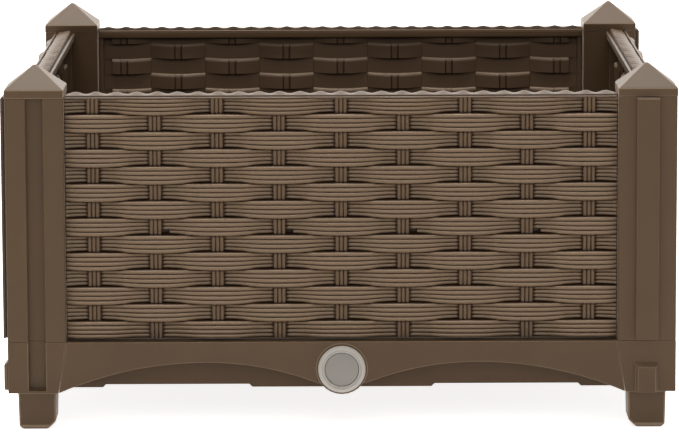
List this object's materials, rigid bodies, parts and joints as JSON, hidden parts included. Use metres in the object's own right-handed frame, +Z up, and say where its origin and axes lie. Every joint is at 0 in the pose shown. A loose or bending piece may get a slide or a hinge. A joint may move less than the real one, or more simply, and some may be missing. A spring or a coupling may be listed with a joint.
{
  "type": "raised planter on legs",
  "caption": "Square raised planter box of clip-together moulded plastic: woven-look walls between capped corner posts, arched skirt, short legs and a side drain plug.",
  "frame": {"origin": "on the ground under the middle of the planter, level with the bottoms of the feet", "axes": "+Z up; the front, with the drain plug, faces -Y; +X is to the right as seen from the front"},
  "size_m": [0.4066, 0.4066, 0.2198],
  "materials": {
    "moulded_brown": "satin moulded polypropylene with a fine grain",
    "woven_brown": "satin moulded polypropylene in a woven-reed relief",
    "tray_brown": "plain moulded polypropylene",
    "plug_grey": "fine-grained moulded plastic",
    "seal_black": "plain moulded rubber"
  },
  "bodies": {
    "frame": {"foot_front_left": "moulded_brown", "foot_front_right": "moulded_brown", "foot_back_right": "moulded_brown", "foot_back_left": "moulded_brown", "corner_block_front_left": "moulded_brown", "corner_block_front_right": "moulded_brown", "corner_block_back_right": "moulded_brown", "corner_block_back_left": "moulded_brown", "post_front_left": "moulded_brown", "post_front_right": "moulded_brown", "post_back_right": "moulded_brown", "post_back_left": "moulded_brown", "skirt_front": "moulded_brown", "skirt_right": "moulded_brown", "skirt_back": "moulded_brown", "skirt_left": "moulded_brown", "panel_front": "woven_brown", "panel_right": "woven_brown", "panel_back": "woven_brown", "panel_left": "woven_brown", "tray": "tray_brown"},
    "cap_front_left": {"cap_front_left": "moulded_brown"},
    "cap_front_right": {"cap_front_right": "moulded_brown"},
    "cap_back_right": {"cap_back_right": "moulded_brown"},
    "cap_back_left": {"cap_back_left": "moulded_brown"},
    "grate": {"soil_grate": "tray_brown"},
    "plug": {"drain_plug": "plug_grey", "plug_seal": "seal_black"}
  },
  "joints": [
    {"name": "cap_front_left_lift", "type": "slide", "parent": "frame", "child": "cap_front_left", "axis": [0, 0, 1], "range_m": [0, 0.04]},
    {"name": "cap_front_right_lift", "type": "slide", "parent": "frame", "child": "cap_front_right", "axis": [0, 0, 1], "range_m": [0, 0.04]},
    {"name": "cap_back_right_lift", "type": "slide", "parent": "frame", "child": "cap_back_right", "axis": [0, 0, 1], "range_m": [0, 0.04]},
    {"name": "cap_back_left_lift", "type": "slide", "parent": "frame", "child": "cap_back_left", "axis": [0, 0, 1], "range_m": [0, 0.04]},
    {"name": "grate_lift", "type": "slide", "parent": "frame", "child": "grate", "axis": [0, 0, 1], "range_m": [0, 0.2]},
    {"name": "plug_pull", "type": "slide", "parent": "frame", "child": "plug", "axis": [0, -1, 0], "range_m": [0, 0.03]}
  ]
}
